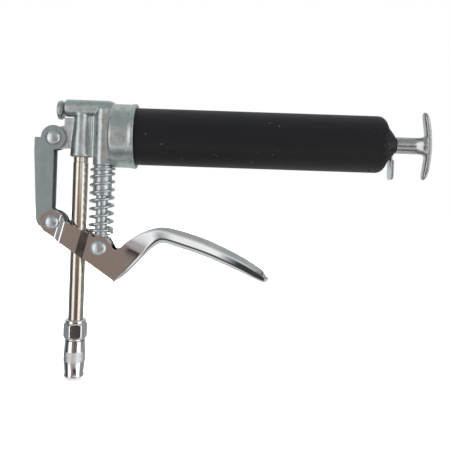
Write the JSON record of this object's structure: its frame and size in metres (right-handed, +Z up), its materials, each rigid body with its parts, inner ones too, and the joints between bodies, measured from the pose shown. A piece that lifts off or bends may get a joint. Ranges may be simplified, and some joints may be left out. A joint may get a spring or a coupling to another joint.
{
  "type": "grease gun",
  "caption": "Small lever grease gun with a cast head, black barrel, straight outlet pipe with coupler, toggle link, squeeze lever, return spring and T-handle follower rod.",
  "frame": {"origin": "centre of the whole gun's bounding box", "axes": "+X along the barrel from the head to the T-handle, +Z up with the outlet pipe pointing down, +Y away from the near side"},
  "size_m": [0.265, 0.0432, 0.1854],
  "materials": {
    "zinc_casting": "bright die-cast zinc, semi-gloss with fine mottling",
    "zinc_plate": "zinc plated sheet steel, matt",
    "chrome": "polished chrome plate",
    "nickel": "bright nickel plate",
    "black_coat": "black satin powder coat",
    "bright_steel": "bright zinc plated steel",
    "cast_alloy": "tumbled cast aluminium",
    "black_rubber": "matt black nitrile rubber"
  },
  "bodies": {
    "gun": {"head_casting": "zinc_casting", "filler_plug": "zinc_casting", "check_ball": "bright_steel", "check_spring": "bright_steel", "link_rivet_upper": "bright_steel", "outlet_pipe": "nickel", "coupler_nut": "chrome", "coupler_sleeve": "chrome", "coupler_jaw_1": "bright_steel", "coupler_jaw_2": "bright_steel", "coupler_jaw_3": "bright_steel", "coupler_jaw_4": "bright_steel", "coupler_seal": "black_rubber", "coupler_spring": "bright_steel", "coupler_check_ball": "bright_steel", "barrel_tube": "black_coat", "barrel_gasket": "black_rubber", "end_cap": "black_coat", "rod_bushing": "black_rubber", "latch_spring": "bright_steel"},
    "plunger": {"pump_plunger": "bright_steel", "spring_seat": "bright_steel", "return_spring": "bright_steel"},
    "lever": {"lever": "chrome", "link_rivet_lower": "bright_steel", "plunger_rivet": "bright_steel"},
    "link": {"toggle_link": "zinc_plate"},
    "follower": {"follower_cup": "black_rubber", "follower_washer_front": "bright_steel", "follower_washer_rear": "bright_steel", "follower_nut": "bright_steel", "follower_spring": "bright_steel"},
    "handle": {"follower_rod": "bright_steel", "t_handle": "cast_alloy"},
    "latch": {"latch_plate": "bright_steel"}
  },
  "joints": [
    {"name": "plunger_stroke", "type": "slide", "parent": "gun", "child": "plunger", "axis": [0, 0, 1], "range_m": [0, 0.0149], "stiffness_N_per_m": 900, "springref_m": -0.015, "deforming": ["return_spring"]},
    {"name": "lever_squeeze", "type": "hinge", "parent": "plunger", "child": "lever", "pos_m": [-0.0875, 0, -0.00573], "axis": [0, -1, 0], "range_deg": [0, 25.2]},
    {"name": "link_swing", "type": "hinge", "parent": "gun", "child": "link", "pos_m": [-0.1203, 0, 0.06657], "axis": [0, 1, 0], "range_deg": [0, 4]},
    {"name": "rod_draw", "type": "slide", "parent": "gun", "child": "follower", "axis": [1, 0, 0], "range_m": [0, 0.115], "stiffness_N_per_m": 120, "springref_m": -0.05, "deforming": ["follower_spring"]},
    {"name": "t_handle_turn", "type": "hinge", "parent": "follower", "child": "handle", "pos_m": [0.1225, 0, 0.06928], "axis": [1, 0, 0], "continuous": true},
    {"name": "latch_press", "type": "hinge", "parent": "gun", "child": "latch", "pos_m": [0.1052, 0, 0.07427], "axis": [0, 1, 0], "range_deg": [0, 2], "stiffness_Nm_per_rad": 0.3, "springref_deg": -11.46}
  ],
  "couplings": [
    {"joint": "lever_squeeze", "follows": "plunger_stroke", "rad_per_m": 29.355},
    {"joint": "link_swing", "follows": "plunger_stroke", "rad_per_m": 4.612}
  ]
}
